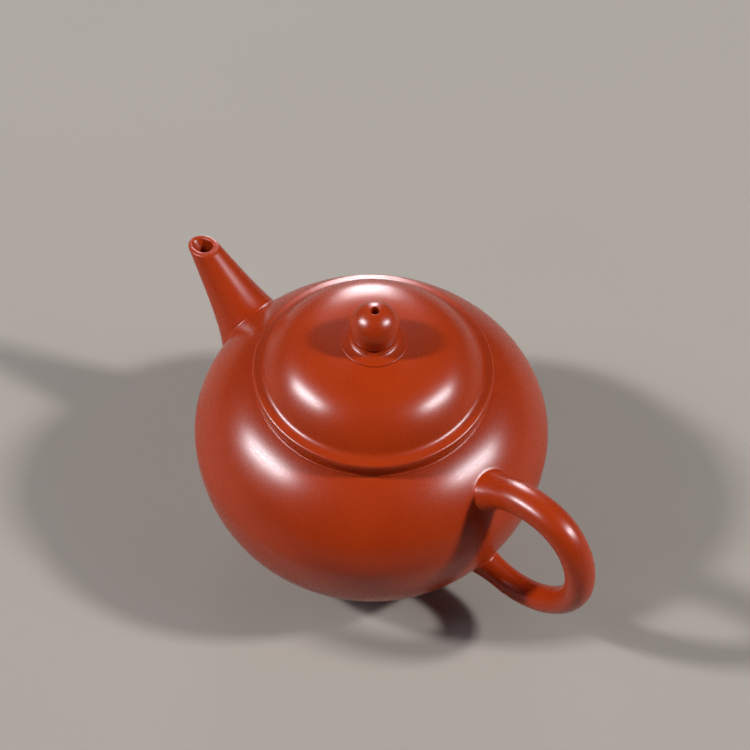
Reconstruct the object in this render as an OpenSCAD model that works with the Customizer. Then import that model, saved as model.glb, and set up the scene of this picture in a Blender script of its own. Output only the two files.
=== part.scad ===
// Small round teapot of unglazed stoneware with a pressed lid.
// The pot stands on its foot: +Z is up, the origin is the centre of the foot's
// underside, the handle points to +X and the spout to -X. Millimetres.

/* [Body] */
// Diameter at the widest line
belly_d = 83.4; // [76:0.2:90]
// Height of the widest line above the table
belly_z = 32.2; // [29:0.5:35]
// Height of the flat land that carries the mouth ring
land_z = 51; // [49:0.2:55]
// Length of the upright pull of the curve above the widest line
upper_pull = 8.5; // [7:0.1:13]
// Length of the sloping pull of the curve below the land
shoulder_pull = 6.4; // [3:0.1:10]
// Slope of the shoulder where it meets the land, degrees
shoulder_slope = 21; // [16:1:40]
// Length of the upright pull of the curve below the widest line
lower_pull = 18.1; // [12:0.2:20]
// Length of the sloping pull of the curve above the foot
under_pull = 9.3; // [7:0.1:13]
// Slope of the underside where it leaves the foot, degrees
under_slope = 20.2; // [16:1:28]
// Thickness of the beaten wall
wall_t = 2.4; // [2:0.1:3]
// Thickness of the bottom sheet
floor_t = 2.6; // [2.2:0.1:3.2]
// Height of the shoulder sheet, from its seam with the wall up to the land
shoulder_h = 7.2; // [5.4:0.1:9]

/* [Foot] */
// Outer diameter of the foot ring
foot_d = 44.8; // [40:0.2:50]
// Height of the foot ring
foot_h = 1.6; // [1:0.1:2.4]
// Width of the foot ring
foot_w = 3.4; // [2.4:0.1:5]
// Radius of the foot ring's lower corners
foot_round = 0.5; // [0.2:0.1:0.7]

/* [Mouth] */
// Bore of the mouth
mouth_d = 45.2; // [42:0.2:46.4]
// Width of the mouth ring
ring_w = 4.1; // [3.2:0.1:5]
// Height of the mouth ring
ring_h = 2.65; // [1.8:0.05:3.2]
// Width of the flat land that shows outside the mouth ring
land_edge = 0.1; // [0.05:0.05:1]
// Radius of the outer corners of the mouth ring and the lid rim
rim_round = 0.45; // [0.2:0.05:0.6]

/* [Lid] */
// Reach of the lid rim past the mouth ring
lid_over = 0.6; // [0.1:0.05:1]
// Height of the lid rim's edge
rim_h = 1.85; // [1.4:0.05:2.4]
// Width of the rim outside the crease where the dome begins
rim_w = 2.5; // [1.6:0.1:3]
// Rise of the rim's top from its edge to the crease
rim_rise = 0.65; // [0.3:0.05:1]
// Rise of the dome above the crease
dome_h = 9.2; // [7.5:0.1:11]
// Fullness of the dome: the power with which it falls away to the crease
dome_full = 4.6; // [3:0.1:6]
// Thickness of the domed sheet
lid_t = 2.2; // [1.8:0.1:2.6]
// Depth of the flange below the rim
flange_h = 7.5; // [5:0.1:9]
// Thickness of the flange
flange_t = 2.2; // [1.6:0.1:2.8]
// Clearance between the flange and the mouth, on the radius
lid_gap = 0.25; // [0.15:0.01:0.4]

/* [Knob] */
// Diameter of the round knob
knob_d = 11.2; // [9.6:0.1:13]
// Height of the knob's centre above its seat
knob_lift = 3.7; // [3:0.1:4.4]
// Width of the seat's top outside the knob's neck
seat_ledge = 0.85; // [0.5:0.05:1.5]
// Width of the seat's flare from its top down to the dome
seat_flare = 2.2; // [1.4:0.1:3.4]
// Height of the seat's top above the top of the dome
seat_h = 1.3; // [0.9:0.05:1.9]
// Bore of the vent through the knob
vent_d = 2; // [1.6:0.1:2.4]

/* [Spout] */
// Distance from the belly's widest line out to the centre of the spout's mouth
spout_out = 15.2; // [11:0.2:17]
// Drop from the pot's mouth to the spout's mouth
spout_drop = 2.05; // [0:0.05:4]
// Rise of the spout's axis, degrees
spout_rise = 45.4; // [40:1:50]
// Outer diameter at the mouth of the spout
spout_tip_d = 6.5; // [5.8:0.1:7.5]
// Half angle of the spout's taper, degrees
spout_taper = 10.3; // [8.5:0.1:12]
// Swell of the spout's root, on the radius
spout_swell = 0.8; // [0.2:0.1:1.4]
// Bore at the mouth of the spout
spout_bore = 4; // [3.2:0.1:4.6]
// Thickness of the spout's wall at its root
spout_root_t = 2.3; // [1.8:0.1:2.8]
// Outward tilt of the spout's mouth, degrees
spout_cut = 12; // [6:1:20]

/* [Strainer] */
// Outer diameter of the ball strainer inside the spout's root
strainer_d = 15.6; // [14:0.2:17]
// Thickness of the strainer
strainer_t = 1.6; // [1.2:0.1:2]
// Diameter of each strainer hole
strainer_hole = 1.6; // [1.2:0.1:1.9]
// Number of rings of holes round the middle one
strainer_rings = 2; // [1:1:2]

/* [Handle] */
// Distance from the belly's widest line out to the middle of the loop
handle_out = 21.7; // [19:0.2:26]
// Drop from the land to the middle of the loop's top
handle_drop = 1.25; // [0:0.1:4]
// Distance from the belly's widest line out to the crest of the loop
crest_out = 9.1; // [6:0.1:12]
// Height of the loop's outermost point above the widest line
outer_rise = 1.7; // [-1:0.1:5]
// Drop from the widest line to the middle of the loop's lower arm
low_drop = 18.9; // [15:0.1:22]
// Distance from the belly's widest line out to the lowest point of the loop
low_out = 2.2; // [1:0.1:6]
// Drop from the land to where the upper arm leaves the body
root_drop = 8; // [7:0.1:12]
// Drop from the upper root to the coil's end under the body's skin
root_dip = 2; // [0:0.1:4]
// Height that the upper arm gains as it leaves the body
root_rise = 5.4; // [3:0.1:8]
// Length of the pull from the upper root, and of the pull into the crest
root_pull = 6; // [4:0.1:9]
crest_pull = 7.4; // [5:0.1:10]
// Roundness of the loop's outer corners, above and below
upper_bend = 0.58; // [0.45:0.01:0.65]
lower_bend = 0.5; // [0.4:0.01:0.6]
// Length of the pull that brings the lower arm to the body
tail_pull = 3; // [2:0.1:5]
// Height that the lower arm gains as it meets the body
tail_rise = 0.6; // [0:0.1:2]
// Width of the upper arm, across the loop
arm_w = 8; // [7:0.1:9]
// Thickness of the upper arm, in the loop's plane
arm_t = 7; // [6:0.1:8]
// Width of the lower arm, across the loop
tail_w = 6; // [5:0.1:7]
// Thickness of the lower arm, in the loop's plane
tail_t = 5.8; // [5:0.1:7]
// Swell of the handle at its roots, as a share of its thickness
root_swell = 0.26; // [0.1:0.02:0.5]

/* [Hidden] */

// Clay colour
CLAY = "#A83A1A";
// Smoothness of revolved surfaces
$fn = 96;
// Points along each half of the body curve, and along the dome
CURVE_STEPS = 14;
DOME_STEPS = 16;
// Rings along each quarter of the handle, and sides round it
LOOP_STEPS = 11;
LOOP_SIDES = 20;
// Angle between the strainer's rings of holes, seen from the ball's centre
STRAINER_STEP = 24;
// Cutting solids run this far past what they cut
PAST = 1;

belly_r = belly_d / 2;
foot_r = foot_d / 2;
mouth_r = mouth_d / 2;
ring_r = mouth_r + ring_w;
land_r = ring_r + land_edge;
lid_r = ring_r + lid_over;
crease_r = lid_r - rim_w;
vent_r = vent_d / 2;
knob_r = knob_d / 2;
neck_r = sqrt(pow(knob_r, 2) - pow(knob_lift, 2));

// Heights, each from the one below it
floor_z = foot_h + floor_t;
seam_z = land_z - shoulder_h;
rim_z = land_z + ring_h;
crease_z = rim_z + rim_h + rim_rise;
dome_top_z = crease_z + dome_h;
seat_z = dome_top_z + seat_h;
knob_z = seat_z + knob_lift;

// ---- Body curve: two cubic pulls that share an upright tangent at the belly

function along(p, t) =
    pow(1 - t, 3) * p[0] + 3 * t * pow(1 - t, 2) * p[1]
    + 3 * t * t * (1 - t) * p[2] + pow(t, 3) * p[3];

function heading(p, t) =
    pow(1 - t, 2) * (p[1] - p[0]) + 2 * t * (1 - t) * (p[2] - p[1]) + t * t * (p[3] - p[2]);

// The point at t, moved to the left of the curve's heading
function beside(p, t, gap) =
    let (h = heading(p, t))
    along(p, t) + gap * [-h[1], h[0]] / norm(h);

lower_curve = [
    [foot_r, foot_h],
    [foot_r + under_pull * cos(under_slope), foot_h + under_pull * sin(under_slope)],
    [belly_r, belly_z - lower_pull],
    [belly_r, belly_z]
];
upper_curve = [
    [belly_r, belly_z],
    [belly_r, belly_z + upper_pull],
    [land_r + shoulder_pull * cos(shoulder_slope), land_z - shoulder_pull * sin(shoulder_slope)],
    [land_r, land_z]
];

function body_points(inset) = concat(
    [for (i = [0 : CURVE_STEPS - 1]) beside(lower_curve, i / CURVE_STEPS, inset)],
    [for (i = [0 : CURVE_STEPS]) beside(upper_curve, i / CURVE_STEPS, inset)]
);

// Radius of the body's outside at a height, found by halving the curve
function radius_on(p, z, lo = 0, hi = 1, n = 18) =
    let (mid = (lo + hi) / 2)
    n == 0 ? along(p, mid)[0]
    : along(p, mid)[1] < z ? radius_on(p, z, mid, hi, n - 1) : radius_on(p, z, lo, mid, n - 1);

function belly_at(z) = z < belly_z ? radius_on(lower_curve, z) : radius_on(upper_curve, z);

module body_outline() {
    polygon(concat([[0, foot_h]], body_points(0), [[0, land_z]]));
}

module hollow_outline() {
    pts = body_points(wall_t);
    intersection() {
        polygon(concat([[0, pts[0][1]]], pts, [[0, pts[len(pts) - 1][1]]]));
        translate([0, floor_z]) square([belly_r, land_z - wall_t - floor_z]);
    }
}

module body_solid() {
    rotate_extrude() body_outline();
}

module hollow_solid() {
    rotate_extrude() hollow_outline();
}

// The shell between two heights, as a half section
module shell_outline(z0, z1) {
    intersection() {
        difference() {
            body_outline();
            hollow_outline();
        }
        translate([0, z0]) square([belly_r + PAST, z1 - z0]);
    }
}

// A flat ring's half section with its outer corners rounded
module rounded_ring_outline(inner, outer, z0, z1, low_round, high_round) {
    step = max(low_round, high_round);
    translate([inner, z0]) square([outer - step - inner, z1 - z0]);
    translate([inner, z0 + low_round]) square([outer - inner, z1 - z0 - low_round - high_round]);
    translate([outer - low_round, z0 + low_round]) circle(low_round);
    translate([outer - high_round, z1 - high_round]) circle(high_round);
}

module foot_ring() {
    color(CLAY) rotate_extrude() intersection() {
        rounded_ring_outline(foot_r - foot_w, foot_r, 0, foot_h * 2, foot_round, foot_round);
        square([belly_r, foot_h]);
    }
}

module bottom_sheet() {
    color(CLAY) rotate_extrude() shell_outline(foot_h, floor_z);
}

module belly_wall() {
    color(CLAY) difference() {
        rotate_extrude() shell_outline(floor_z, seam_z);
        spout_inlet();
    }
}

module shoulder_sheet() {
    color(CLAY) rotate_extrude() difference() {
        shell_outline(seam_z, land_z);
        square([mouth_r, land_z + PAST]);
    }
}

module mouth_ring() {
    color(CLAY) rotate_extrude() intersection() {
        rounded_ring_outline(mouth_r, ring_r, land_z - ring_h, rim_z, rim_round, rim_round);
        translate([0, land_z]) square([belly_r, ring_h]);
    }
}

// ---- Spout: a straight cone about a rising axis

tip_x = belly_r + spout_out;
tip_z = rim_z - spout_drop;

// Outward distance and height of a point on the axis, s below the mouth
function axis_at(s) = [tip_x - s * cos(spout_rise), tip_z - s * sin(spout_rise)];

function root_of(lo, hi, n = 18) =
    let (mid = (lo + hi) / 2, p = axis_at(mid))
    n == 0 ? mid
    : p[0] > belly_at(p[1]) ? root_of(mid, hi, n - 1) : root_of(lo, mid, n - 1);

root_s = root_of(spout_bore, belly_r);

function spout_r(s) =
    spout_tip_d / 2 + s * tan(spout_taper) + spout_swell * pow(min(max(0, s) / root_s, 1.1), 5);

// The cone runs on under the body's skin until all of its end lies inside
spout_len = root_s + 2 * spout_r(root_s);

channel_root_r = spout_r(0) + root_s * tan(spout_taper) - spout_root_t;

module on_spout_axis(s) {
    p = axis_at(s);
    translate([-p[0], 0, p[1]]) rotate([0, spout_rise - 90, 0]) children();
}

// The channel: a straight inlet through the body's wall, then a taper to the mouth
inlet_start = root_s - channel_root_r;
inlet_end = root_s + 2 * wall_t + channel_root_r;

module spout_inlet() {
    on_spout_axis(inlet_end) cylinder(h = inlet_end - inlet_start, r = channel_root_r);
}

module spout_channel() {
    on_spout_axis(0) rotate_extrude() polygon([
        [0, spout_tip_d],
        [spout_bore / 2, spout_tip_d],
        [spout_bore / 2, 0],
        [channel_root_r, -inlet_start],
        [channel_root_r, -inlet_end],
        [0, -inlet_end]
    ]);
}

module spout() {
    steps = 12;
    end = spout_tip_d;
    color(CLAY) difference() {
        on_spout_axis(0) rotate_extrude() polygon(concat(
            [[0, end], [spout_r(-end), end]],
            [for (i = [0 : steps]) let (s = i * spout_len / steps) [spout_r(s), -s]],
            [[0, -spout_len]]
        ));
        body_solid();
        spout_channel();
        // The mouth, cut almost level
        translate([-tip_x, 0, tip_z]) rotate([0, -spout_cut, 0])
            translate([-tip_x / 2, -tip_x / 2, 0]) cube([tip_x, tip_x, 3 * spout_tip_d]);
    }
}

// ---- Ball strainer: a pierced half ball luted over the spout's inlet

// The middle hole and rings of holes round it, all pointing at the ball's centre
module strainer_holes(start, end) {
    for (ring = [0 : strainer_rings], i = [0 : max(1, 6 * ring) - 1])
        rotate([0, 0, i * 60 / max(1, ring)])
            rotate([0, 180 - ring * STRAINER_STEP, 0])
                translate([0, 0, start]) cylinder(h = end - start, d = strainer_hole, $fn = 24);
}

module spout_strainer() {
    strainer_r = strainer_d / 2;
    inner_r = strainer_r - strainer_t;
    inlet_s = root_s + wall_t / cos(spout_rise / 2);
    color(CLAY) difference() {
        intersection() {
            on_spout_axis(inlet_s) sphere(strainer_r);
            hollow_solid();
        }
        on_spout_axis(inlet_s) sphere(inner_r);
        on_spout_axis(inlet_s) strainer_holes(inner_r - PAST, strainer_r + PAST);
    }
}

// ---- Handle: a tapering oval coil swept round an ear-shaped loop

outer_x = belly_r + handle_out;
crest_x = belly_r + crest_out;
low_x = belly_r + low_out;
crest_z = land_z - handle_drop;
outer_z = belly_z + outer_rise;
low_z = belly_z - low_drop;
root_z = land_z - root_drop;
root_x = belly_at(root_z) - arm_t / 2;
root_start_z = root_z - root_dip;
low_root_x = belly_at(low_z) - tail_t / 2;

loop_curves = [
    [
        [root_x, root_start_z],
        [root_x + root_pull, root_start_z + root_rise],
        [crest_x - crest_pull, crest_z],
        [crest_x, crest_z]
    ],
    [
        [crest_x, crest_z],
        [crest_x + upper_bend * (outer_x - crest_x), crest_z],
        [outer_x, outer_z + upper_bend * (crest_z - outer_z)],
        [outer_x, outer_z]
    ],
    [
        [outer_x, outer_z],
        [outer_x, outer_z - lower_bend * (outer_z - low_z)],
        [low_x + lower_bend * (outer_x - low_x), low_z],
        [low_x, low_z]
    ],
    [
        [low_x, low_z],
        [low_x - tail_pull, low_z],
        [low_root_x + tail_pull, low_z + tail_rise * 2 / 3],
        [low_root_x, low_z + tail_rise]
    ]
];

function soften(t) = t * t * (3 - 2 * t);

// One ring of the coil at step i of the whole loop
function loop_ring(i) =
    let (
        q = min(floor(i / LOOP_STEPS), 3),
        t = i / LOOP_STEPS - q,
        c = along(loop_curves[q], t),
        h = heading(loop_curves[q], t),
        n = [-h[1], h[0]] / norm(h),
        u = soften(i / (4 * LOOP_STEPS)),
        out = max(0, c[0] - belly_at(c[1])),
        k = 1 + root_swell * pow(max(0, 1 - out / arm_t), 2),
        a = k * (arm_w * (1 - u) + tail_w * u) / 2,
        b = k * (arm_t * (1 - u) + tail_t * u) / 2
    )
    [for (j = [0 : LOOP_SIDES - 1])
        let (w = 360 * j / LOOP_SIDES)
        [c[0] + b * cos(w) * n[0], a * sin(w), c[1] + b * cos(w) * n[1]]];

module coil() {
    rings = 4 * LOOP_STEPS;
    points = [for (i = [0 : rings]) each loop_ring(i)];
    sides = [
        for (i = [0 : rings - 1], j = [0 : LOOP_SIDES - 1])
            let (k = (j + 1) % LOOP_SIDES, r = i * LOOP_SIDES)
            [r + j, r + LOOP_SIDES + j, r + LOOP_SIDES + k, r + k]
    ];
    start = [for (j = [0 : LOOP_SIDES - 1]) j];
    end = [for (j = [LOOP_SIDES - 1 : -1 : 0]) rings * LOOP_SIDES + j];
    polyhedron(points, concat([start, end], sides), convexity = 6);
}

module handle() {
    color(CLAY) difference() {
        coil();
        body_solid();
    }
}

// ---- Lid

flange_r = mouth_r - lid_gap;

// Height of the dome's outside at a radius
function dome_z(r) = dome_top_z - dome_h * pow(r / crease_r, dome_full);

// A point on the dome's outside, moved in by a skin
function dome_point(r, skin) =
    let (slope = dome_full * dome_h / crease_r * pow(r / crease_r, dome_full - 1))
    [r, dome_z(r)] - skin * [slope, 1] / norm([slope, 1]);

module dome_outline(skin) {
    edge = dome_point(crease_r, skin);
    intersection() {
        polygon(concat(
            [[0, edge[1] - PAST], [edge[0], edge[1] - PAST]],
            [for (i = [DOME_STEPS : -1 : 0]) dome_point(crease_r * sin(90 * i / DOME_STEPS), skin)]
        ));
        translate([0, crease_z]) square([crease_r, dome_h + PAST]);
    }
}

module vent() {
    translate([0, 0, crease_z]) cylinder(h = knob_z + knob_r + PAST - crease_z, r = vent_r);
}

module lid_flange() {
    chamfer = flange_t / 4;
    color(CLAY) rotate_extrude() polygon([
        [flange_r - flange_t, rim_z - flange_h],
        [flange_r - chamfer, rim_z - flange_h],
        [flange_r, rim_z - flange_h + chamfer],
        [flange_r, rim_z],
        [flange_r - flange_t, rim_z]
    ]);
}

module lid_rim() {
    edge_z = rim_z + rim_h;
    color(CLAY) rotate_extrude() {
        rounded_ring_outline(flange_r - flange_t, lid_r, rim_z, edge_z, rim_round, rim_round);
        polygon([
            [flange_r - flange_t, edge_z],
            [lid_r - rim_round, edge_z],
            [crease_r, crease_z],
            [flange_r - flange_t, crease_z]
        ]);
    }
}

module lid_dome() {
    color(CLAY) difference() {
        rotate_extrude() difference() {
            dome_outline(0);
            dome_outline(lid_t);
        }
        vent();
    }
}

// A low disc with a small edge, flaring up to the knob
module knob_seat() {
    top_r = neck_r + seat_ledge;
    seat_r = top_r + seat_flare;
    lift = seat_z - dome_z(top_r);
    edge = lift / 5;
    steps = 6;
    color(CLAY) difference() {
        rotate_extrude() difference() {
            polygon(concat(
                [[0, crease_z], [seat_r, crease_z]],
                [for (i = [0 : steps])
                    let (w = 90 * i / steps, r = seat_r - (seat_r - top_r) * sin(w))
                    [r, dome_z(r) + edge + (lift - edge) * (1 - cos(w))]],
                [[0, seat_z]]
            ));
            dome_outline(0);
        }
        vent();
    }
}

module knob() {
    color(CLAY) difference() {
        translate([0, 0, knob_z]) sphere(knob_r);
        translate([-knob_r, -knob_r, seat_z - knob_d]) cube(knob_d);
        vent();
    }
}

foot_ring();
bottom_sheet();
belly_wall();
shoulder_sheet();
mouth_ring();
spout();
spout_strainer();
handle();
lid_flange();
lid_rim();
lid_dome();
knob_seat();
knob();
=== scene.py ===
"""A small round teapot of burnished stoneware with a pressed lid.

The pot stands on its foot ring: +Z is up, the origin is the centre of the foot's underside, the
spout points to -X and the handle to +X. Sizes are in millimetres and meshes in metres.
"""

import logging
import math
from dataclasses import dataclass, field
from enum import Enum
from typing import Any, Sequence

import bpy
import numpy as np
from mathutils import Matrix, Vector


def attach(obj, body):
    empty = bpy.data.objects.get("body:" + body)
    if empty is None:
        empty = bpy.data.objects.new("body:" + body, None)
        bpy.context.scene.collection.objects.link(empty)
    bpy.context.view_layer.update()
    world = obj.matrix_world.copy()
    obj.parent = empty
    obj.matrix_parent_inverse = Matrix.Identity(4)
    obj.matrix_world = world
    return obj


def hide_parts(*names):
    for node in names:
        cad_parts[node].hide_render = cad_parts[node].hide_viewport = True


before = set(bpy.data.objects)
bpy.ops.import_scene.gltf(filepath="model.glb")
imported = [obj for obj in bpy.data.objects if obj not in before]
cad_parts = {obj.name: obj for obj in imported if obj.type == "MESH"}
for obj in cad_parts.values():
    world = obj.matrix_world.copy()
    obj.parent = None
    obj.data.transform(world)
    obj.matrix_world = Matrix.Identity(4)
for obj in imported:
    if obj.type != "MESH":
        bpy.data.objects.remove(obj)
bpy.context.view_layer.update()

MM = 0.001
# A facet's edge is drawn sharp from this angle up, in degrees
SHARP_FROM = 38
# Points nearer than this are one point, in millimetres
MERGE = 1e-6
# The lid's rim stands this far past the mouth ring
LID_OVER = 0.6
Array = np.ndarray
log = logging.getLogger("teapot")


class Body(Enum):
    """The bodies that move apart."""

    POT = "pot"
    LID = "lid"


class Skin(Enum):
    """Which finish a face takes: the order of a piece's material slots."""

    BURNISHED = 0
    SCRAPED = 1


# ---- Paths: strokes joined by softened corners


@dataclass
class Stroke:
    """One smooth run of a path, in two or three dimensions.

    Args:
        points: The run's points, in order.
        count: How many points it keeps once its ends are trimmed.
        soft: How far the corner at its end is softened, along each of the two strokes.
        skin: The finish of the faces that follow it.
    """

    points: Array
    count: int = 2
    soft: float = 0.0
    skin: Skin = Skin.BURNISHED


def lengths_along(points: Array) -> Array:
    """Returns the distance from the first point to each point, along the line."""
    return np.concatenate([[0.0], np.cumsum(np.linalg.norm(np.diff(points, axis=0), axis=1))])


def trimmed(points: Array, start: float, end: float, count: int) -> Array:
    """Cuts a line at both ends and spaces its points evenly.

    Args:
        points: The line.
        start: Length cut from its start.
        end: Length cut from its end.
        count: Number of points returned.

    Returns:
        The points, with a close pair at each end that keeps a softened corner's shading short.
    """
    along = lengths_along(points)
    low, high = start, along[-1] - end
    if high <= low:
        low = high = (low + high) / 2
    margin = min(0.12, (high - low) / 8)
    inner = np.linspace(low + margin, high - margin, max(count - 2, 2))
    wanted = np.concatenate([[low], inner, [high]])
    columns = [np.interp(wanted, along, points[:, k]) for k in range(points.shape[1])]
    return np.stack(columns, axis=1)


def joined(strokes: Sequence[Stroke], closed: bool, steps: int = 7) -> tuple[Array, list[int]]:
    """Joins strokes end to end and softens the corners between them.

    Args:
        strokes: The strokes in order.
        closed: Whether the last one runs on into the first.
        steps: Number of facets in a softened corner.

    Returns:
        The path's points, and the finish of the facet that starts at each point.
    """
    points: list[Array] = []
    skins: list[int] = []
    count = len(strokes)
    for i, stroke in enumerate(strokes):
        before = strokes[i - 1].soft if closed or i else 0.0
        after = stroke.soft if closed or i < count - 1 else 0.0
        run = trimmed(stroke.points, before, after, stroke.count)
        points.append(run)
        skins += [stroke.skin.value] * len(run)
        if after > 0:
            following = strokes[(i + 1) % count]
            corner = stroke.points[-1]
            onward = trimmed(following.points, after, 0.0, 4)[0]
            t = np.linspace(0, 1, steps + 1)[1:-1, None]
            bend = (1 - t) ** 2 * run[-1] + 2 * t * (1 - t) * corner + t**2 * onward
            points.append(bend)
            skins += [stroke.skin.value] * len(bend)
    path = np.concatenate(points)
    step = np.linalg.norm(np.roll(path, -1, axis=0) - path, axis=1)
    keep = step > MERGE
    if not closed:
        keep[-1] = True
    return path[keep], [s for s, k in zip(skins, keep) if k]


def line(*corners: Sequence[float]) -> Array:
    """Returns the points of a straight line, or of a broken one."""
    return np.array(corners, float)


def arc(centre: Sequence[float], radius: float, start: float, end: float, count: int = 33) -> Array:
    """Returns points on a circle's arc between two angles in degrees."""
    w = np.radians(np.linspace(start, end, count))
    return np.stack([centre[0] + radius * np.cos(w), centre[1] + radius * np.sin(w)], axis=1)


def cubic(p: Sequence[Sequence[float]], count: int) -> Array:
    """Returns points on a cubic curve.

    Args:
        p: Its two ends with the two pulls between them.
        count: Number of points.

    Returns:
        The points, from the first end to the last.
    """
    t = np.linspace(0, 1, count)[:, None]
    a, b, c, d = (np.array(q, float) for q in p)
    return (1 - t) ** 3 * a + 3 * t * (1 - t) ** 2 * b + 3 * t**2 * (1 - t) * c + t**3 * d


def unit(v: Array) -> Array:
    """Returns vectors scaled to length one."""
    return v / np.maximum(np.linalg.norm(v, axis=-1, keepdims=True), 1e-12)


# ---- Meshes


def make_piece(
    name: str, points: Array, faces: list[tuple[int, ...]], skins: list[int]
) -> bpy.types.Object:
    """Makes a smooth mesh piece.

    Args:
        name: The piece's name.
        points: Its points in millimetres.
        faces: Its faces, as point numbers.
        skins: The finish of each face.

    Returns:
        The new object, linked to the scene.
    """
    mesh = bpy.data.meshes.new(name)
    mesh.from_pydata((points * MM).tolist(), [], faces)
    mesh.polygons.foreach_set("material_index", skins)
    mesh.polygons.foreach_set("use_smooth", [True] * len(faces))
    mesh.validate()
    mesh.set_sharp_from_angle(angle=math.radians(SHARP_FROM))
    piece = bpy.data.objects.new(name, mesh)
    bpy.context.scene.collection.objects.link(piece)
    return piece


def revolved(
    name: str, strokes: Sequence[Stroke], closed: bool, sides: int = 160
) -> bpy.types.Object:
    """Turns a half section about the upright axis.

    Args:
        name: The piece's name.
        strokes: The half section as radius and height, going anticlockwise seen with +Z up.
        closed: False where both its ends lie on the axis.
        sides: Number of facets round the axis.

    Returns:
        The turned piece.
    """
    path, path_skins = joined(strokes, closed)
    n = len(path)
    w = np.linspace(0, 2 * math.pi, sides, endpoint=False)
    ring = np.stack([np.cos(w), np.sin(w)], axis=1)
    first, last = (0, n) if closed else (1, n - 1)
    grid = [np.column_stack([r * ring, np.full(sides, z)]) for r, z in path[first:last]]
    points = np.concatenate(grid)
    rows = last - first
    faces: list[tuple[int, ...]] = []
    skins: list[int] = []
    for i in range(rows if closed else rows - 1):
        a, b = i * sides, ((i + 1) % rows) * sides
        for j in range(sides):
            k = (j + 1) % sides
            faces.append((a + j, a + k, b + k, b + j))
            skins.append(path_skins[first + i])
    if not closed:
        poles = len(points)
        points = np.concatenate([points, [[0, 0, path[0][1]], [0, 0, path[-1][1]]]])
        top = (rows - 1) * sides
        for j in range(sides):
            k = (j + 1) % sides
            faces += [(poles, k, j), (poles + 1, top + j, top + k)]
            skins += [path_skins[0], path_skins[-2]]
    return make_piece(name, points, faces, skins)


def lofted(
    name: str, columns: Sequence[tuple[Array, list[int]]], closed: bool
) -> bpy.types.Object:
    """Joins columns of points, side by side round a piece, into a solid.

    Args:
        name: The piece's name.
        columns: For each column its points and their finishes, all with as many points.
        closed: True where each column is a loop; otherwise both ends are filled in.

    Returns:
        The lofted piece.
    """
    m, n = len(columns), len(columns[0][0])
    points = np.concatenate([c[0] for c in columns])
    faces: list[tuple[int, ...]] = []
    skins: list[int] = []
    for j in range(m):
        a, b = j * n, ((j + 1) % m) * n
        for i in range(n if closed else n - 1):
            k = (i + 1) % n
            faces.append((a + i, a + k, b + k, b + i))
            skins.append(columns[j][1][i])
    if not closed:
        centre = len(points)
        ends = [np.mean([c[0][i] for c in columns], axis=0) for i in (0, n - 1)]
        points = np.concatenate([points, ends])
        for j in range(m):
            k = (j + 1) % m
            faces += [(centre, j * n, k * n), (centre + 1, k * n + n - 1, j * n + n - 1)]
            skins += [0, 0]
    return make_piece(name, points, faces, skins)


# ---- Finishes


def linear(code: str, alpha: float = 1.0) -> tuple[float, float, float, float]:
    """Turns an sRGB hex colour into a linear one.

    Args:
        code: The colour as #RRGGBB.
        alpha: Its alpha.

    Returns:
        The linear red, green, blue and alpha.
    """
    parts = [int(code[i : i + 2], 16) / 255 for i in (1, 3, 5)]
    r, g, b = (c / 12.92 if c <= 0.04045 else ((c + 0.055) / 1.055) ** 2.4 for c in parts)
    return r, g, b, alpha


def add_node(
    tree: bpy.types.NodeTree, kind: str, inputs: dict[str | int, Any] | None = None, **settings: Any
) -> Any:
    """Adds a node with its settings and links.

    Args:
        tree: The node tree.
        kind: The node's type.
        inputs: For each input, the socket that feeds it or its value.
        **settings: The node's properties.

    Returns:
        The new node.
    """
    node = tree.nodes.new(kind)
    for key, value in settings.items():
        setattr(node, key, value)
    for key, value in (inputs or {}).items():
        if isinstance(value, bpy.types.NodeSocket):
            tree.links.new(value, node.inputs[key])
        else:
            node.inputs[key].default_value = value
    return node


def per_mm(size: float) -> float:
    """Returns the texture scale that gives features of a size in millimetres."""
    return 1 / (size * MM)


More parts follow.
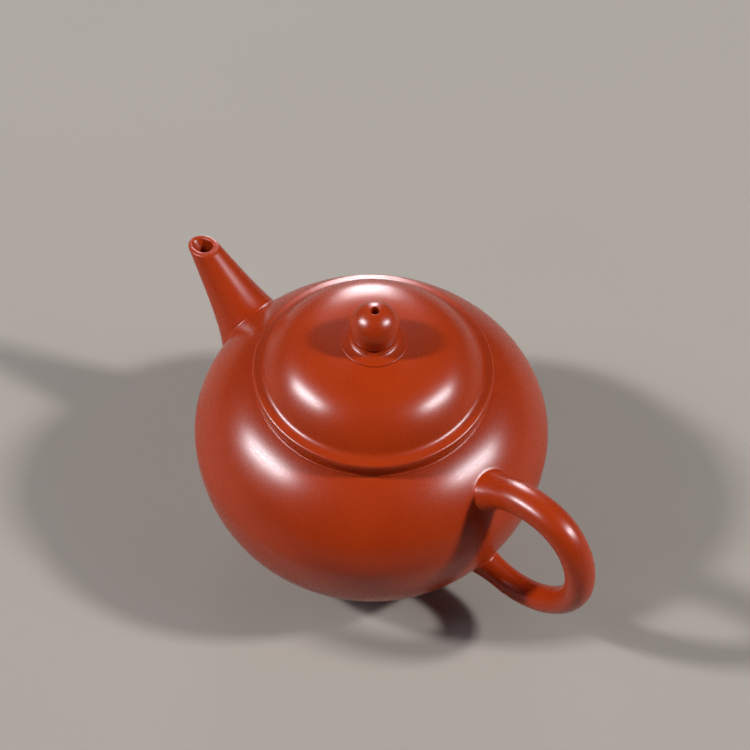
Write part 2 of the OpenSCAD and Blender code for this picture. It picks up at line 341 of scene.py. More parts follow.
@dataclass(frozen=True)
class ZishaFinish:
    """Unglazed purple-sand stoneware, fired to a dense brick red.

    Args:
        name: The material's name.
        clay: Main colour of the fired body.
        rich: Deeper colour where the iron is denser.
        pale: Colour of the lighter mineral grains.
        roughness: Roughness of the surface between the grains.
        grain: Width of a sand grain in the surface.
        grain_depth: Height of the grain relief.
        wave: Width of the unevenness that a maker's hand leaves.
        wave_depth: Height of that unevenness.
        cloud: Width of the clouds of colour.
        speck: Spacing of the lighter grains.
        ior: Index of refraction of the skin, which sets how much light it mirrors.
        cloud_edges: Noise values between which the clay turns from rich to plain.
        speck_edges: Distances from a light grain over which it fades out.
        speck_share: How much of the pale colour a grain shows.
        grain_edges: Noise values between which the roughness changes.
        dull_spread: How far the roughness goes below and above its own value.
    """

    name: str
    clay: str
    rich: str
    pale: str
    roughness: float
    grain: float
    grain_depth: float
    wave: float
    wave_depth: float
    cloud: float
    speck: float
    ior: float = 1.33
    cloud_edges: tuple[float, float] = (0.34, 0.68)
    speck_edges: tuple[float, float] = (0.10, 0.24)
    speck_share: float = 0.5
    grain_edges: tuple[float, float] = (0.3, 0.7)
    dull_spread: tuple[float, float] = (-0.05, 0.06)

    def make(self) -> bpy.types.Material:
        """Builds the material.

        Returns:
            The material with its nodes.
        """
        material = bpy.data.materials.new(self.name)
        material.use_nodes = True
        tree = material.node_tree
        tree.nodes.clear()
        place = add_node(tree, "ShaderNodeTexCoord").outputs["Object"]
        clouds = add_node(tree, "ShaderNodeTexNoise", {
            "Vector": place, "Scale": per_mm(self.cloud), "Detail": 4.0, "Roughness": 0.6})
        cloud_share = add_node(tree, "ShaderNodeMapRange", {
            0: clouds.outputs["Fac"], 1: self.cloud_edges[0], 2: self.cloud_edges[1],
            3: 0.0, 4: 1.0})
        clay = add_node(tree, "ShaderNodeMix", {
            0: cloud_share.outputs[0], 6: linear(self.rich), 7: linear(self.clay)},
            data_type="RGBA")
        specks = add_node(tree, "ShaderNodeTexVoronoi", {
            "Vector": place, "Scale": per_mm(self.speck), "Randomness": 1.0})
        speck_share = add_node(tree, "ShaderNodeMapRange", {
            0: specks.outputs["Distance"], 1: self.speck_edges[0], 2: self.speck_edges[1],
            3: self.speck_share, 4: 0.0})
        coloured = add_node(tree, "ShaderNodeMix", {
            0: speck_share.outputs[0], 6: clay.outputs[2], 7: linear(self.pale)}, data_type="RGBA")
        # Quartz and mica grains of the fired sand stand a few microns proud, which breaks up the
        # edge of each highlight; they are drawn a little coarser than they are, so as to show
        grains = add_node(tree, "ShaderNodeTexNoise", {
            "Vector": place, "Scale": per_mm(self.grain), "Detail": 2.0, "Roughness": 0.65})
        waves = add_node(tree, "ShaderNodeTexNoise", {
            "Vector": place, "Scale": per_mm(self.wave), "Detail": 1.0, "Roughness": 0.4})
        dull = add_node(tree, "ShaderNodeMapRange", {
            0: grains.outputs["Fac"], 1: self.grain_edges[0], 2: self.grain_edges[1],
            3: self.roughness + self.dull_spread[0], 4: self.roughness + self.dull_spread[1]})
        swell = add_node(tree, "ShaderNodeBump", {
            "Height": waves.outputs["Fac"], "Distance": self.wave_depth * MM, "Strength": 1.0})
        relief = add_node(tree, "ShaderNodeBump", {
            "Height": grains.outputs["Fac"], "Distance": self.grain_depth * MM, "Strength": 1.0,
            "Normal": swell.outputs["Normal"]})
        shader = add_node(tree, "ShaderNodeBsdfPrincipled", {
            "Base Color": coloured.outputs[2], "Roughness": dull.outputs[0],
            "Normal": relief.outputs["Normal"], "IOR": self.ior, "Metallic": 0.0})
        add_node(tree, "ShaderNodeOutputMaterial", {"Surface": shader.outputs["BSDF"]})
        return material


# The outside is rubbed with a horn tool while leather-hard, which lays the fine particles flat:
# a satin skin with soft, slightly grainy highlights
BURNISHED = ZishaFinish(
    name="zisha_stoneware_burnished", clay="#A83409", rich="#A23007", pale="#B0401A",
    roughness=0.28, grain=0.32, grain_depth=0.002, wave=7.0, wave_depth=0.01,
    cloud=11.0, speck=0.55)

# The inside and the underside are only scraped smooth: the grain stands open, so they stay matt
SCRAPED = ZishaFinish(
    name="zisha_stoneware_scraped", clay="#A43E20", rich="#933316", pale="#BC5A38",
    roughness=0.6, grain=0.4, grain_depth=0.012, wave=5.0, wave_depth=0.06,
    cloud=8.0, speck=0.6)


class Kiln:
    """Holds the fired finishes and puts them on pieces."""

    def __init__(self) -> None:
        """Makes both finishes."""
        self.materials = [BURNISHED.make(), SCRAPED.make()]

    def dress(self, piece: bpy.types.Object, body: Body, nodes: Sequence[str]) -> None:
        """Gives a piece its finishes and the body it rides on, and hides the CAD nodes it replaces.

        Args:
            piece: The piece.
            body: The body that it moves with.
            nodes: The CAD nodes that it replaces.
        """
        piece.data.materials.clear()
        for material in self.materials:
            piece.data.materials.append(material)
        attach(piece, body.value)
        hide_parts(*nodes)
        log.info("%s: %d faces, on the %s, for %s",
                 piece.name, len(piece.data.polygons), body.value, ", ".join(nodes))

    def finish_node(self, node: str) -> None:
        """Gives a CAD node that stays the scraped finish.

        Args:
            node: The node's name.
        """
        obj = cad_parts[node]
        obj.data.materials.clear()
        obj.data.materials.append(self.materials[Skin.SCRAPED.value])
        log.info("%s: kept as packed", node)


# ---- The pot


@dataclass
class PotBody:
    """The beaten wall, its bottom sheet and its shoulder sheet, closed up into one skin.

    The outline is two cubic pulls that share an upright tangent at the widest line. A name that
    ends in _r is a radius, in _z a height above the table, and a slope is in degrees.
    """

    belly_r: float = 41.69
    belly_z: float = 32.2
    land_z: float = 51.1
    land_r: float = 26.8
    upper_pull: float = 7.3
    shoulder_pull: float = 7.9
    shoulder_slope: float = 19.0
    lower_pull: float = 18.1
    under_pull: float = 9.3
    under_slope: float = 20.2
    wall: float = 2.4
    floor_z: float = 4.2
    foot_r: float = 22.4
    foot_h: float = 1.6
    foot_w: float = 3.4
    mouth_r: float = 22.6
    ring_r: float = 26.7
    ring_h: float = 2.55
    rim_round: float = 0.45
    ring_sunk: float = 0.7
    bead_w: float = 0.34
    bead_h: float = 0.2
    bead_roll: float = 0.12
    curve_points: int = 500
    curve: Array = field(init=False)
    normals: Array = field(init=False)

    def __post_init__(self) -> None:
        """Draws the outline and its outward normals."""
        slope, rise = math.radians(self.shoulder_slope), math.radians(self.under_slope)
        lower = cubic([
            (self.foot_r, self.foot_h),
            (self.foot_r + self.under_pull * math.cos(rise),
             self.foot_h + self.under_pull * math.sin(rise)),
            (self.belly_r, self.belly_z - self.lower_pull),
            (self.belly_r, self.belly_z)], self.curve_points)
        upper = cubic([
            (self.belly_r, self.belly_z),
            (self.belly_r, self.belly_z + self.upper_pull),
            (self.land_r + self.shoulder_pull * math.cos(slope),
             self.land_z - self.shoulder_pull * math.sin(slope)),
            (self.land_r, self.land_z)], self.curve_points)
        self.curve = np.concatenate([lower, upper[1:]])
        heading = unit(np.gradient(self.curve, axis=0))
        self.normals = np.stack([heading[:, 1], -heading[:, 0]], axis=1)

    @property
    def rim_z(self) -> float:
        """Height of the mouth ring's top."""
        return self.land_z + self.ring_h

    def nearest(self, points: Array) -> tuple[Array, Array, Array]:
        """Finds the body's surface next to some points.

        Args:
            points: The points, as an array of x, y, z.

        Returns:
            The nearest surface points, the outward normals there, and how far outside each
            point lies.
        """
        r = np.hypot(points[:, 0], points[:, 1])
        flat = np.stack([r, points[:, 2]], axis=1)
        gap = flat[:, None, :] - self.curve[None, :, :]
        i = np.argmin((gap**2).sum(axis=2), axis=1)
        normal = self.normals[i]
        out = ((flat - self.curve[i]) * normal).sum(axis=1)
        foot = flat - out[:, None] * normal
        around = points[:, :2] / np.maximum(r, 1e-9)[:, None]
        surface = np.column_stack([around * foot[:, :1], foot[:, 1]])
        normal3 = np.column_stack([around * normal[:, :1], normal[:, 1]])
        return surface, normal3, out

    def walk(self, start: Array, heading: Array, distance: float, count: int) -> Array:
        """Walks over the body's surface in a straight line.

        Args:
            start: A point on the surface.
            heading: The way to go, which is laid onto the surface.
            distance: How far.
            count: Number of points returned.

        Returns:
            The points walked through.
        """
        here = start.astype(float)
        path = [here]
        step = distance / (count - 1)
        for _ in range(count - 1):
            _, normal, _ = self.nearest(here[None])
            heading = unit(heading - (heading @ normal[0]) * normal[0])
            surface, _, _ = self.nearest((here + step * heading)[None])
            here = surface[0]
            path.append(here)
        return np.array(path)

    def wall_piece(self) -> bpy.types.Object:
        """Turns the wall, bottom and shoulder as one closed skin.

        Returns:
            The turned piece.
        """
        inner = self.curve - self.wall * self.normals
        ceiling = self.land_z - self.wall
        inside = inner[(inner[:, 1] > self.floor_z) & (inner[:, 1] < ceiling)]
        inside = inside[inside[:, 0] > self.mouth_r]
        inside = np.concatenate([
            [[inside[0, 0], self.floor_z]], inside, [[inside[-1, 0], ceiling]]])[::-1]
        return revolved("pot_wall", [
            Stroke(line((0, self.foot_h), (self.foot_r, self.foot_h)), 12, 0.05, Skin.SCRAPED),
            Stroke(self.curve, 150, 0.12),
            Stroke(line((self.land_r, self.land_z), (self.mouth_r, self.land_z)), 6, 0.1),
            Stroke(line((self.mouth_r, self.land_z), (self.mouth_r, ceiling)), 6, 0.5,
                   Skin.SCRAPED),
            Stroke(line((self.mouth_r, ceiling), inside[0]), 6, 0.8, Skin.SCRAPED),
            Stroke(inside, 90, 2.0, Skin.SCRAPED),
            Stroke(line(inside[-1], (0, self.floor_z)), 14, 0.0, Skin.SCRAPED),
        ], closed=False)

    def foot_piece(self) -> bpy.types.Object:
        """Turns the foot ring, worn soft where it stands.

        Returns:
            The turned piece.
        """
        inner, outer, top = self.foot_r - self.foot_w, self.foot_r, self.foot_h + 0.05
        return revolved("foot_ring_turned", [
            Stroke(line((inner, 0), (outer, 0)), 8, 0.5, Skin.SCRAPED),
            Stroke(line((outer, 0), (outer, top)), 6, 0.0),
            Stroke(line((outer, top), (inner, top)), 6, 0.0, Skin.SCRAPED),
            Stroke(line((inner, top), (inner, 0)), 6, 0.4, Skin.SCRAPED),
        ], closed=True)

    def mouth_piece(self) -> bpy.types.Object:
        """Turns the mouth ring, with the fine bead that its luting leaves on the shoulder.

        Returns:
            The turned piece.
        """
        bead_r, bead_z = self.ring_r + self.bead_w, self.land_z + self.bead_h
        bead_top, sunk = bead_z + self.bead_roll, self.land_z - self.ring_sunk
        return revolved("mouth_ring_turned", [
            Stroke(line((self.mouth_r, sunk), (bead_r, sunk)), 6, 0.0, Skin.SCRAPED),
            Stroke(line((bead_r, sunk), (bead_r, bead_z)), 6, 0.2),
            Stroke(line((bead_r, bead_z), (self.ring_r, bead_top)), 5, 0.12),
            Stroke(line((self.ring_r, bead_top), (self.ring_r, self.rim_z)), 8, self.rim_round),
            Stroke(line((self.ring_r, self.rim_z), (self.mouth_r, self.rim_z)), 10, 0.35),
            Stroke(line((self.mouth_r, self.rim_z), (self.mouth_r, sunk)), 8, 0.0, Skin.SCRAPED),
        ], closed=True)

    def build(self, kiln: Kiln, inlet: bpy.types.Object) -> None:
        """Makes and dresses the wall, foot ring and mouth ring.

        Args:
            kiln: The finishes.
            inlet: The solid that is bored out of the wall for the spout.
        """
        wall = self.wall_piece()
        bore_out(wall, inlet)
        kiln.dress(wall, Body.POT, ["bottom_sheet", "belly_wall", "shoulder_sheet"])
        kiln.dress(self.foot_piece(), Body.POT, ["foot_ring"])
        kiln.dress(self.mouth_piece(), Body.POT, ["mouth_ring"])


def bore_out(piece: bpy.types.Object, cutter: bpy.types.Object) -> None:
    """Cuts a solid out of a piece and removes the cutter.

    Args:
        piece: The piece that keeps its outside.
        cutter: The solid to take away.
    """
    cut = piece.modifiers.new("bore", "BOOLEAN")
    cut.operation = "DIFFERENCE"
    cut.solver = "EXACT"
    cut.object = cutter
    bpy.context.view_layer.update()
    graph = bpy.context.evaluated_depsgraph_get()
    solid = bpy.data.meshes.new_from_object(piece.evaluated_get(graph))
    piece.modifiers.clear()
    old = piece.data
    piece.data = solid
    bpy.data.meshes.remove(old)
    bpy.data.objects.remove(cutter)


@dataclass
class Luting:
    """How a part is joined to the body with slip and smoothed off.

    Args:
        crease: Radius of the crease all round.
        collar_w: Width of the smoothed band on the body.
        collar_h: Height of that band.
        sink: How far the band's outer edge goes under the body's skin.
        least: Least reach of the crease, as a multiple of its radius.
        most: Greatest reach of the crease, as a multiple of its radius.
    """

    crease: float
    collar_w: float
    collar_h: float
    sink: float = 0.03
    least: float = 0.35
    most: float = 2.4

    def seat(self, body: PotBody, column: Array, axis: Array) -> tuple[Array, Array, float]:
        """Ends a column of a part on the body.

        Args:
            body: The body.
            column: The part's points along one side, from outside the body to under its skin.
            axis: The points of the part's middle beside them.

        Returns:
            The column up to the body, the run over the body's surface beyond it, and how far the
            crease between them is softened.
        """
        _, _, out = body.nearest(column)
        i = int(np.argmax(out < 0))
        i = max(i, 1)
        t = out[i - 1] / (out[i - 1] - out[i])
        touch = column[i - 1] + t * (column[i] - column[i - 1])
        middle = axis[i - 1] + t * (axis[i] - axis[i - 1])
        surface, normal, _ = body.nearest(touch[None])
        away = touch - middle
        away = unit(away - (away @ normal[0]) * normal[0])
        back = unit(column[max(i - 3, 0)] - touch)
        opening = math.acos(float(np.clip(back @ away, -1, 1)))
        reach = self.crease / math.tan(opening / 2)
        reach = float(np.clip(reach, self.least * self.crease, self.most * self.crease))
        run = body.walk(surface[0], away, reach + self.collar_w, 25)
        along = lengths_along(run)
        t = np.clip(along / (reach + self.collar_w), 0, 1)
        lift = self.collar_h * (1 - t) ** 2 * (1 + 2 * t) - self.sink * t**2
        _, normals, _ = body.nearest(run)
        run = run + lift[:, None] * normals
        return np.concatenate([column[:i], run[:1]]), run, reach


@dataclass
class Spout:
    """A straight tapering spout, bored through and cut almost level at its mouth.

    Rise, taper and cut are angles in degrees. The lines are drawn from above the mouth to beyond
    the body's skin, and what is buried under that skin closes the solid.
    """

    out: float = 15.1
    drop: float = 2.05
    rise: float = 45.4
    tip_r: float = 3.25
    taper: float = 10.3
    swell: float = 0.8
    bore_r: float = 2.0
    root_wall: float = 2.3
    cut: float = 7.0
    lip_soft: float = 0.42
    above: float = 6.0
    beyond: float = 17.0
    buried: float = 0.5
    channel_end: float = 0.6
    luting: Luting = field(default_factory=lambda: Luting(0.75, 2.4, 0.14))
    sides: int = 112

    def place(self, body: PotBody) -> None:
        """Works out where the spout's axis leaves the body.

        Args:
            body: The body that carries it.
        """
        w = math.radians(self.rise)
        self.tip = np.array([-body.belly_r - self.out, 0, body.rim_z - self.drop])
        self.up = np.array([-math.cos(w), 0, math.sin(w)])
        self.side = np.array([0.0, 1.0, 0.0])
        self.over = np.cross(self.up, self.side)
        s = np.linspace(0, 40, 4000)
        _, _, out = body.nearest(self.tip - s[:, None] * self.up)
        self.root_s = float(s[np.argmax(out < 0)])
        spread = self.root_s * math.tan(math.radians(self.taper))
        self.channel_r = self.tip_r + spread - self.root_wall
        self.inlet_start = self.root_s - self.channel_r

    def radius(self, s: Array) -> Array:
        """Returns the outer radius at distances below the mouth."""
        share = np.clip(s / self.root_s, 0, 1.1)
        return self.tip_r + s * math.tan(math.radians(self.taper)) + self.swell * share**5

    def bore(self, s: Array) -> Array:
        """Returns the channel's radius at distances below the mouth."""
        return np.interp(s, [0, self.inlet_start], [self.bore_r, self.channel_r])

    def inlet(self, body: PotBody) -> bpy.types.Object:
        """Makes the straight inlet that is bored through the body's wall.

        Args:
            body: The body that carries the spout.

        Returns:
            The solid to take away.
        """
        far = self.root_s + 2 * body.wall + self.channel_r
        columns = []
        for w in np.linspace(0, 2 * math.pi, 64, endpoint=False):
            way = math.cos(w) * self.side + math.sin(w) * self.over
            s = np.array([self.inlet_start, (self.inlet_start + far) / 2, far])
            column = self.tip - s[:, None] * self.up + self.channel_r * way
            columns.append((column, [Skin.SCRAPED.value] * 3))
        return lofted("inlet_bore", columns, closed=False)

    def column(self, body: PotBody, w: float) -> tuple[Array, list[int]]:
        """Draws one loop of the spout's section: root, outside, lip, channel and buried end.

        Args:
            body: The body that carries it.
            w: The angle round the axis, in radians.

        Returns:
            The loop's points and finishes.
        """
        way = math.cos(w) * self.side + math.sin(w) * self.over
        tilt = math.radians(self.cut)
        mouth = np.array([-math.sin(tilt), 0, math.cos(tilt)])
        s = np.linspace(-self.above, self.root_s + self.beyond, 700)
        axis = self.tip - s[:, None] * self.up
        skin = axis + self.radius(s)[:, None] * way
        hole = axis + self.bore(s)[:, None] * way
        below = (skin - self.tip) @ mouth < 0
        first = int(np.argmax(below))
        inner_first = int(np.argmax((hole - self.tip) @ mouth < 0))
        outside, run, reach = self.luting.seat(body, skin[first:], axis[first:])
        _, _, depth = body.nearest(hole)
        last = int(np.argmax(depth < -self.channel_end))
        channel = hole[inner_first:last]
        _, normal, _ = body.nearest(run[-1:])
        buried = run[-1] - self.buried * normal[0]
        return joined([
            Stroke(run[::-1], 16, reach),
            Stroke(outside[::-1], 44, self.lip_soft),
            Stroke(line(outside[0], channel[0]), 5, self.lip_soft),
            Stroke(channel, 26, 0.0, Skin.SCRAPED),
            Stroke(line(channel[-1], buried), 4, 0.0, Skin.SCRAPED),
            Stroke(line(buried, run[-1]), 4, 0.0, Skin.SCRAPED),
        ], closed=True)

    def build(self, kiln: Kiln, body: PotBody) -> None:
        """Makes and dresses the spout, and dresses its ball strainer.

        Args:
            kiln: The finishes.
            body: The body that carries it.
        """
        turns = np.linspace(0, -2 * math.pi, self.sides, endpoint=False)
        piece = lofted("spout_luted", [self.column(body, w) for w in turns], closed=True)
        kiln.dress(piece, Body.POT, ["spout"])
        kiln.finish_node("spout_strainer")


@dataclass
class Handle:
    """A tapering oval coil bent into an ear and luted to the body at both ends.

    Its middle runs over four pulls: arm, crest, outer turn and tail. Each is placed by how far it
    stands out from the belly, and by how far it drops from the shoulder or the belly's line.
    """

    out: float = 21.7
    drop: float = 1.35
    crest_out: float = 9.1
    outer_rise: float = 1.7
    low_drop: float = 18.9
    low_out: float = 2.2
    root_drop: float = 8.1
    root_dip: float = 2.0
    root_rise: float = 5.4
    root_pull: float = 6.0
    crest_pull: float = 7.4
    upper_bend: float = 0.58
    lower_bend: float = 0.5
    tail_pull: float = 3.0
    tail_rise: float = 0.6
    arm_w: float = 8.0
    arm_t: float = 7.0
    tail_w: float = 6.0
    tail_t: float = 5.8
    root_swell: float = 0.26
    buried: float = 0.6
    upper_luting: Luting = field(default_factory=lambda: Luting(0.5, 0.8, 0.03))
    lower_luting: Luting = field(default_factory=lambda: Luting(0.9, 1.2, 0.05))
    sides: int = 72

    def spine(self, body: PotBody) -> Array:
        """Draws the middle of the coil, from the upper root round to the lower one.

        Args:
            body: The body that carries it.

        Returns:
            Its points in the plane of the loop.
        """
        def skin_at(z: float) -> float:
            """Returns the body's radius at a height."""
            return float(np.interp(z, body.curve[:, 1], body.curve[:, 0]))

        crest_x, outer_x = body.belly_r + self.crest_out, body.belly_r + self.out
        low_x = body.belly_r + self.low_out
        crest_z, outer_z = body.land_z - self.drop, body.belly_z + self.outer_rise
        low_z, root_z = body.belly_z - self.low_drop, body.land_z - self.root_drop
        root_x, root_start = skin_at(root_z) - self.arm_t / 2, root_z - self.root_dip
        low_root = skin_at(low_z) - self.tail_t / 2
        quarters = [
            [(root_x, root_start), (root_x + self.root_pull, root_start + self.root_rise),
             (crest_x - self.crest_pull, crest_z), (crest_x, crest_z)],
            [(crest_x, crest_z), (crest_x + self.upper_bend * (outer_x - crest_x), crest_z),
             (outer_x, outer_z + self.upper_bend * (crest_z - outer_z)), (outer_x, outer_z)],
            [(outer_x, outer_z), (outer_x, outer_z - self.lower_bend * (outer_z - low_z)),
             (low_x + self.lower_bend * (outer_x - low_x), low_z), (low_x, low_z)],
            [(low_x, low_z), (low_x - self.tail_pull, low_z),
             (low_root + self.tail_pull, low_z + self.tail_rise * 2 / 3),
             (low_root, low_z + self.tail_rise)],
        ]
        return np.concatenate([cubic(q, 61)[:-1] for q in quarters] + [[quarters[3][3]]])

    def build(self, kiln: Kiln, body: PotBody) -> None:
        """Makes and dresses the handle.

        Args:
            kiln: The finishes.
            body: The body that carries it.
        """
        flat = self.spine(body)
        spine = np.column_stack([flat[:, 0], np.zeros(len(flat)), flat[:, 1]])
        heading = unit(np.gradient(flat, axis=0))
        normal = np.column_stack([-heading[:, 1], np.zeros(len(flat)), heading[:, 0]])
        u = np.linspace(0, 1, len(flat))
        u = u * u * (3 - 2 * u)
        skin = np.interp(flat[:, 1], body.curve[:, 1], body.curve[:, 0])
        clear = np.maximum(0, flat[:, 0] - skin)
        swell = 1 + self.root_swell * np.maximum(0, 1 - clear / self.arm_t) ** 2
        a = swell * (self.arm_w * (1 - u) + self.tail_w * u) / 2
        b = swell * (self.arm_t * (1 - u) + self.tail_t * u) / 2
        columns = []
        half = len(flat) // 2
        for w in np.linspace(0, 2 * math.pi, self.sides, endpoint=False):
            column = spine + (b * math.cos(w))[:, None] * normal
            column[:, 1] = a * math.sin(w)
            upper, upper_run, upper_reach = self.upper_luting.seat(
                body, column[:half + 1][::-1], spine[:half + 1][::-1])
            lower, lower_run, lower_reach = self.lower_luting.seat(
                body, column[half:], spine[half:])
            ends = [run[-1] - self.buried * body.nearest(run[-1:])[1][0]
                    for run in (upper_run, lower_run)]
            columns.append(joined([
                Stroke(line(ends[0], upper_run[-1]), 3, 0.0),
                Stroke(upper_run[::-1], 10, upper_reach),
                Stroke(np.concatenate([upper[::-1][:-1], lower]), 150, lower_reach),
                Stroke(lower_run, 10, 0.0),
                Stroke(line(lower_run[-1], ends[1]), 3, 0.0),
            ], closed=False))
        kiln.dress(lofted("handle_luted", columns, closed=False), Body.POT, ["handle"])


@dataclass
class Lid:
    """The pressed lid: flange, rim and dome, with a round knob on its seat.

    Its heights follow from the mouth ring's top. The dome falls away as a power of the radius,
    dome_full, so that it is almost flat at the knob and steep at the crease.
    """

    rim_z: float
    mouth_r: float
    lid_r: float
    gap: float = 0.25
    flange_t: float = 2.2
    flange_h: float = 7.5
    rim_h: float = 1.85
    rim_round: float = 0.45
    rim_rise: float = 0.65
    rim_w: float = 2.5
    edge_soft: float = 0.6
    crease_soft: float = 0.95
    dome_h: float = 9.2
    dome_full: float = 4.6
    sheet: float = 2.2
    vent_r: float = 1.0
    knob_r: float = 5.6
    knob_lift: float = 3.7
    seat_ledge: float = 0.85
    seat_flare: float = 2.5
    seat_h: float = 1.3
    seat_edge: float = 0.25
    hollow: float = 0.4

    def __post_init__(self) -> None:
        """Works out the heights and radii that follow."""
        self.crease_r = self.lid_r - self.rim_w
        self.crease_z = self.rim_z + self.rim_h + self.rim_rise
        self.top_z = self.crease_z + self.dome_h
        self.seat_z = self.top_z + self.seat_h
        self.knob_z = self.seat_z + self.knob_lift
        self.neck_r = math.sqrt(self.knob_r**2 - self.knob_lift**2)
        self.flange_r = self.mouth_r - self.gap

    def dome(self, r: Array) -> Array:
        """Returns the dome's height at some radii."""
        return self.top_z - self.dome_h * (r / self.crease_r) ** self.dome_full

    def dome_run(self, start: float, end: float, skin: float) -> Array:
        """Draws the dome's section between two radii.

        Args:
            start: The first radius.
            end: The last radius.
            skin: How far the section is moved in from the outside.

        Returns:
            The section's points.
        """
        r = np.linspace(start, end, 200)
        share = (r / self.crease_r) ** (self.dome_full - 1)
        slope = self.dome_full * self.dome_h / self.crease_r * share
        inward = unit(np.column_stack([slope, np.ones_like(r)]))
        return np.column_stack([r, self.dome(r)]) - skin * inward

    def cover_piece(self) -> bpy.types.Object:
        """Turns the rim and dome as one closed sheet with a vent.

        Returns:
            The turned piece.
        """
        inner_r = self.flange_r - self.flange_t
        under = self.dome_run(self.vent_r, self.crease_r, self.sheet)
        under[0, 0] = self.vent_r
        under = under[under[:, 1] > self.crease_z]
        edge = self.rim_z + self.rim_h
        outer = self.dome_run(self.crease_r, self.vent_r, 0.0)
        return revolved("lid_cover", [
            Stroke(line((inner_r, self.rim_z), (self.lid_r, self.rim_z)), 10, self.rim_round,
                   Skin.SCRAPED),
            Stroke(line((self.lid_r, self.rim_z), (self.lid_r, edge)), 8, self.edge_soft),
            Stroke(line((self.lid_r, edge), (self.crease_r, self.crease_z)), 8, self.crease_soft),
            Stroke(outer, 90, 0.0),
            Stroke(line(outer[-1], under[0]), 4, 0.0, Skin.SCRAPED),
            Stroke(under, 60, 0.6, Skin.SCRAPED),
            Stroke(line(under[-1], (inner_r + self.hollow, self.crease_z)), 4, 0.3, Skin.SCRAPED),
            Stroke(line((inner_r + self.hollow, self.crease_z), (inner_r, self.rim_z)), 5, 0.0,
                   Skin.SCRAPED),
        ], closed=True)

    def flange_piece(self) -> bpy.types.Object:
        """Turns the flange that holds the lid in the mouth.

        Returns:
            The turned piece.
        """
        inner, outer = self.flange_r - self.flange_t, self.flange_r
        low, top = self.rim_z - self.flange_h, self.rim_z + 0.02
        return revolved("lid_flange_turned", [
            Stroke(line((inner, low), (outer, low)), 6, 0.8, Skin.SCRAPED),
            Stroke(line((outer, low), (outer, top)), 10, 0.0, Skin.SCRAPED),
            Stroke(line((outer, top), (inner, top)), 4, 0.0, Skin.SCRAPED),
            Stroke(line((inner, top), (inner, low)), 10, 0.6, Skin.SCRAPED),
        ], closed=True)

    def seat_piece(self) -> bpy.types.Object:
        """Turns the knob's seat: a thin edge, a shallow cove and a narrow ledge.

        Returns:
            The turned piece.
        """
        top_r = self.neck_r + self.seat_ledge
        foot_r = top_r + self.seat_flare
        lift = self.seat_z - float(self.dome(np.array([top_r]))[0])
        edge = lift * self.seat_edge
        w = np.linspace(0, math.pi / 2, 40)
        r = foot_r - (foot_r - top_r) * np.sin(w)
        cove = np.column_stack([r, self.dome(r) + edge + (lift - edge) * (1 - np.cos(w))])
        under = self.dome_run(self.vent_r, foot_r, 0.15)
        return revolved("knob_seat_turned", [
            Stroke(under, 12, 0.0, Skin.SCRAPED),
            Stroke(line(under[-1], cove[0]), 5, 0.24),
            Stroke(cove, 30, 0.16),
            Stroke(line(cove[-1], (self.vent_r, self.seat_z)), 8, 0.0),
            Stroke(line((self.vent_r, self.seat_z), under[0]), 4, 0.0, Skin.SCRAPED),
        ], closed=True)

    def knob_piece(self) -> bpy.types.Object:
        """Turns the round knob with the vent through it.

        Returns:
            The turned piece.
        """
        low = -math.degrees(math.asin(self.knob_lift / self.knob_r))
        high = math.degrees(math.acos(self.vent_r / self.knob_r))
        ball = arc((0, self.knob_z), self.knob_r, low, high, 200)
        foot = self.seat_z - 0.05
        return revolved("knob_turned", [
            Stroke(line((self.vent_r, foot), (self.neck_r, foot)), 6, 0.0),
            Stroke(line((self.neck_r, foot), ball[0]), 4, 0.0),
            Stroke(ball, 80, 0.3),
            Stroke(line(ball[-1], (self.vent_r, foot)), 12, 0.0, Skin.SCRAPED),
        ], closed=True, sides=112)

    def build(self, kiln: Kiln) -> None:
        """Makes and dresses the lid's pieces.

        Args:
            kiln: The finishes.
        """
        kiln.dress(self.cover_piece(), Body.LID, ["lid_rim", "lid_dome"])
        kiln.dress(self.flange_piece(), Body.LID, ["lid_flange"])
        kiln.dress(self.seat_piece(), Body.LID, ["knob_seat"])
        kiln.dress(self.knob_piece(), Body.LID, ["knob"])


# ---- The studio


class Task(Enum):
    """What a lamp is there for: the form and its shadows, or the long soft glints in the skin."""

    FORM = "form"
    GLOSS = "gloss"


@dataclass(frozen=True)
class Softbox:
    """A soft light with a square edge, aimed at the pot.

    Args:
        name: Its name.
        task: What it lights.
        toward: Direction from the pot to the light.
        size: Width in metres.
        height: Height in metres.
        watts: Power.
        turn: Turn about its own beam in degrees.
        distance: Distance from the pot in metres.
        colour: Colour of its light.
    """

    name: str
    task: Task
    toward: tuple[float, float, float]
    size: float
    height: float
    watts: float
    turn: float = 0.0
    distance: float = 1.8
    colour: str = "#F6F8FF"

    def hang(self, target: Vector) -> None:
        """Adds the light to the scene.

        Args:
            target: The point that it faces.
        """
        data = bpy.data.lights.new(self.name, "AREA")
        data.shape = "RECTANGLE"
        data.size = self.size
        data.size_y = self.height
        data.energy = self.watts
        data.color = linear(self.colour)[:3]
        light = bpy.data.objects.new(self.name, data)
        way = Vector(self.toward).normalized()
        spin = Matrix.Rotation(math.radians(self.turn), 4, "Z")
        facing = way.to_track_quat("Z", "Y").to_matrix().to_4x4() @ spin
        light.matrix_world = Matrix.Translation(target + way * self.distance) @ facing
        light.visible_diffuse = self.task is not Task.GLOSS
        light.visible_glossy = self.task is not Task.FORM
        bpy.context.scene.collection.objects.link(light)


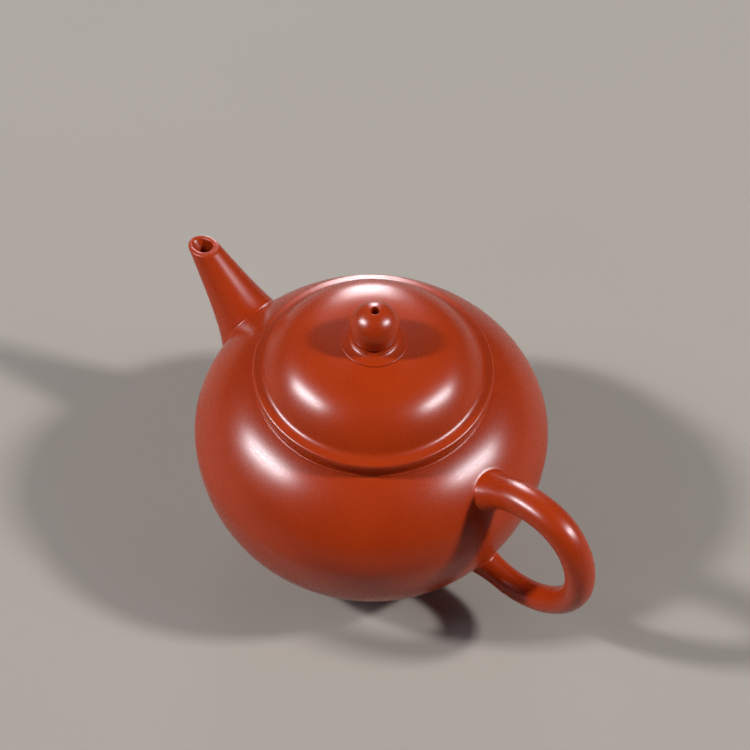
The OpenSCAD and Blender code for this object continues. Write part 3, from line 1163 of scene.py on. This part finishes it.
@dataclass
class Studio:
    """A plain pale table, two lamps for the form, three strips for the gloss and the camera.

    The small lamps cast the shadows and are left out of the gloss; the strips are seen only in it.
    """

    target: tuple[float, float, float] = (0.002, 0.0, 0.036)
    floor_colour: str = "#9B9286"
    floor_light: str = "#9F968A"
    world_colour: str = "#C9CCD4"
    world_strength: float = 0.05
    floor_drop: float = 0.00003
    floor_reach: float = 4.0
    tone_size: float = 90.0
    lens: float = 85.78
    lights: tuple[Softbox, ...] = (
        Softbox("left_key", Task.FORM, (-0.528, -0.547, 0.649), 0.17, 0.17, 28.0),
        Softbox("right_key", Task.FORM, (0.578, 0.468, 0.669), 0.17, 0.17, 28.0),
        Softbox("left_strip", Task.GLOSS, (-0.509, -0.629, 0.588), 0.95, 0.32, 86.0, 33.0),
        Softbox("right_strip", Task.GLOSS, (0.670, 0.435, 0.602), 0.88, 0.30, 66.0, -33.0),
        Softbox("back_strip", Task.GLOSS, (-0.671, 0.676, 0.298), 0.44, 0.85, 40.0),
    )

    def floor(self) -> None:
        """Lays the plain pale table."""
        mesh = bpy.data.meshes.new("floor")
        reach = self.floor_reach
        corners = ((-reach, -reach), (reach, -reach), (reach, reach), (-reach, reach))
        mesh.from_pydata([(x, y, -self.floor_drop) for x, y in corners], [], [(0, 1, 2, 3)])
        floor = bpy.data.objects.new("floor", mesh)
        bpy.context.scene.collection.objects.link(floor)
        material = bpy.data.materials.new("matt_table_board")
        material.use_nodes = True
        tree = material.node_tree
        tree.nodes.clear()
        place = add_node(tree, "ShaderNodeTexCoord").outputs["Object"]
        tone = add_node(tree, "ShaderNodeTexNoise", {
            "Vector": place, "Scale": per_mm(self.tone_size), "Detail": 2.0})
        colour = add_node(tree, "ShaderNodeMix", {
            0: tone.outputs["Fac"], 6: linear(self.floor_colour), 7: linear(self.floor_light)},
            data_type="RGBA")
        # A matt board has no mirrored light to speak of, only a broad dull sheen
        shader = add_node(tree, "ShaderNodeBsdfPrincipled", {
            "Base Color": colour.outputs[2], "Roughness": 0.85})
        add_node(tree, "ShaderNodeOutputMaterial", {"Surface": shader.outputs["BSDF"]})
        mesh.materials.append(material)

    def world(self) -> None:
        """Fills the room with dim, even, pale light."""
        world = bpy.data.worlds.new("studio")
        bpy.context.scene.world = world
        world.use_nodes = True
        tree = world.node_tree
        tree.nodes.clear()
        light = add_node(tree, "ShaderNodeBackground", {
            "Color": linear(self.world_colour), "Strength": self.world_strength})
        add_node(tree, "ShaderNodeOutputWorld", {"Surface": light.outputs["Background"]})

    def camera(self) -> None:
        """Sets the camera over the handle side, looking down on the lid."""
        data = bpy.data.cameras.new("camera")
        data.sensor_width = 36.0
        data.sensor_fit = "HORIZONTAL"
        data.lens = self.lens
        data.clip_start = 0.01
        camera = bpy.data.objects.new("camera", data)
        right = Vector((0.72635, 0.68704, 0.01950))
        up = Vector((-0.56058, 0.57576, 0.59519))
        back = Vector((0.39769, -0.44325, 0.80335))
        turn = Matrix((right, up, back)).transposed().to_4x4()
        camera.matrix_world = Matrix.Translation(Vector((161.918, -179.829, 378.784)) * MM) @ turn
        bpy.context.scene.collection.objects.link(camera)
        bpy.context.scene.camera = camera

    def build(self) -> None:
        """Sets up the floor, world, lights and camera."""
        self.floor()
        self.world()
        for light in self.lights:
            light.hang(Vector(self.target))
        self.camera()
        bpy.context.scene.view_settings.view_transform = "Standard"


def main() -> None:
    """Builds the teapot and its studio."""
    logging.basicConfig(level=logging.INFO, format="%(name)s: %(message)s")
    studio = Studio()
    studio.build()
    kiln = Kiln()
    body = PotBody()
    spout = Spout()
    spout.place(body)
    body.build(kiln, spout.inlet(body))
    spout.build(kiln, body)
    Handle().build(kiln, body)
    Lid(rim_z=body.rim_z, mouth_r=body.mouth_r, lid_r=body.ring_r + LID_OVER).build(kiln)


if __name__ == "__main__":
    main()
